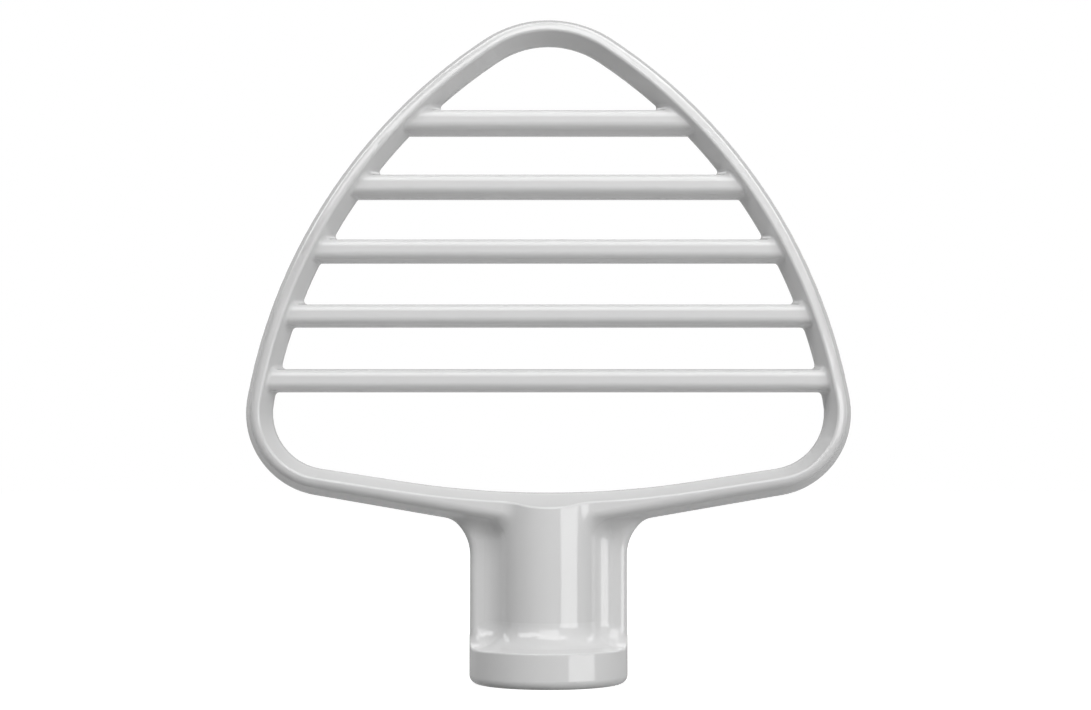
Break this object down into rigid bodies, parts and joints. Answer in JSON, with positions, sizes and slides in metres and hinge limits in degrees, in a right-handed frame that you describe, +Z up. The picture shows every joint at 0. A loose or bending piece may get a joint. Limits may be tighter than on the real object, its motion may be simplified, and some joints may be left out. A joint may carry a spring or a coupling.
{
  "type": "pastry beater",
  "caption": "Loop-shaped cast beater with straight cross bars and a fluted hub with a bayonet socket, which cuts butter into flour in a stand mixer.",
  "frame": {"origin": "centre of the hub's end face, which it stands on", "axes": "+Z up the hub's axis to the apex of the loop, +X across the loop, Y through its thickness"},
  "size_m": [0.1466, 0.038, 0.1612],
  "materials": {
    "coat": "smooth satin gloss coat"
  },
  "bodies": {
    "root": {"pastry_beater": "coat"}
  },
  "joints": []
}
